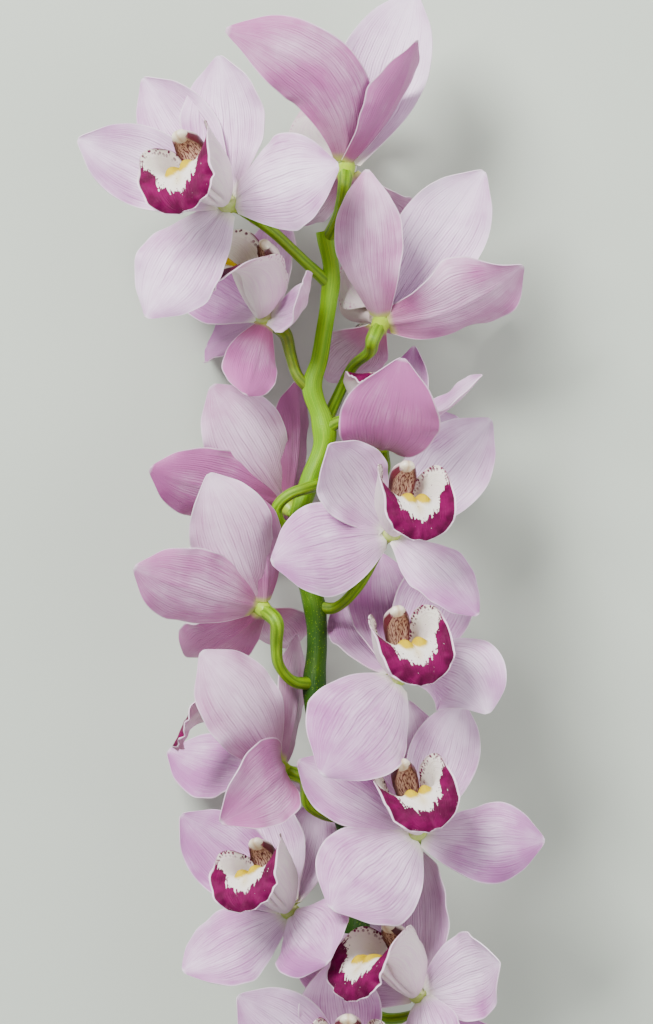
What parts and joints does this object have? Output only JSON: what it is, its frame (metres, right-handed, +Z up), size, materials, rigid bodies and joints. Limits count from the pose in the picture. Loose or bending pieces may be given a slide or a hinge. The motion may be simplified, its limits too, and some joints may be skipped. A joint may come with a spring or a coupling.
{
  "type": "cymbidium orchid stem",
  "caption": "Cut orchid stem laid flat: a slightly zigzag green scape with large lilac-pink blooms, each with a magenta-banded lip and an arched cream column.",
  "frame": {"origin": "centre of the bounding box in X and Y, on the surface that the stem lies on", "axes": "+Y along the scape towards its tip, +Z up from the surface, +X to the right as seen from above with the tip away from the viewer"},
  "size_m": [0.1957, 0.6936, 0.1287],
  "materials": {
    "stem_green": "satin",
    "tepal_lilac": "satin",
    "lip_magenta": "satin",
    "column_cream": "satin"
  },
  "bodies": {
    "root": {"scape": "stem_green", "bloom_a_tepals": "tepal_lilac", "bloom_a_lip": "lip_magenta", "bloom_a_column": "column_cream", "bloom_b_tepals": "tepal_lilac", "bloom_b_lip": "lip_magenta", "bloom_b_column": "column_cream", "bloom_c_tepals": "tepal_lilac", "bloom_c_lip": "lip_magenta", "bloom_c_column": "column_cream", "bloom_d_tepals": "tepal_lilac", "bloom_d_lip": "lip_magenta", "bloom_d_column": "column_cream", "bloom_e_tepals": "tepal_lilac", "bloom_e_lip": "lip_magenta", "bloom_e_column": "column_cream", "bloom_f_tepals": "tepal_lilac", "bloom_f_lip": "lip_magenta", "bloom_f_column": "column_cream", "bloom_g_tepals": "tepal_lilac", "bloom_g_lip": "lip_magenta", "bloom_g_column": "column_cream", "bloom_h_tepals": "tepal_lilac", "bloom_h_lip": "lip_magenta", "bloom_h_column": "column_cream", "bloom_i_tepals": "tepal_lilac", "bloom_i_lip": "lip_magenta", "bloom_i_column": "column_cream", "bloom_j_tepals": "tepal_lilac", "bloom_j_lip": "lip_magenta", "bloom_j_column": "column_cream", "bloom_k_tepals": "tepal_lilac", "bloom_k_lip": "lip_magenta", "bloom_k_column": "column_cream", "bloom_l_tepals": "tepal_lilac", "bloom_l_lip": "lip_magenta", "bloom_l_column": "column_cream", "bloom_m_tepals": "tepal_lilac", "bloom_m_lip": "lip_magenta", "bloom_m_column": "column_cream", "bloom_n_tepals": "tepal_lilac", "bloom_n_lip": "lip_magenta", "bloom_n_column": "column_cream"}
  },
  "joints": []
}
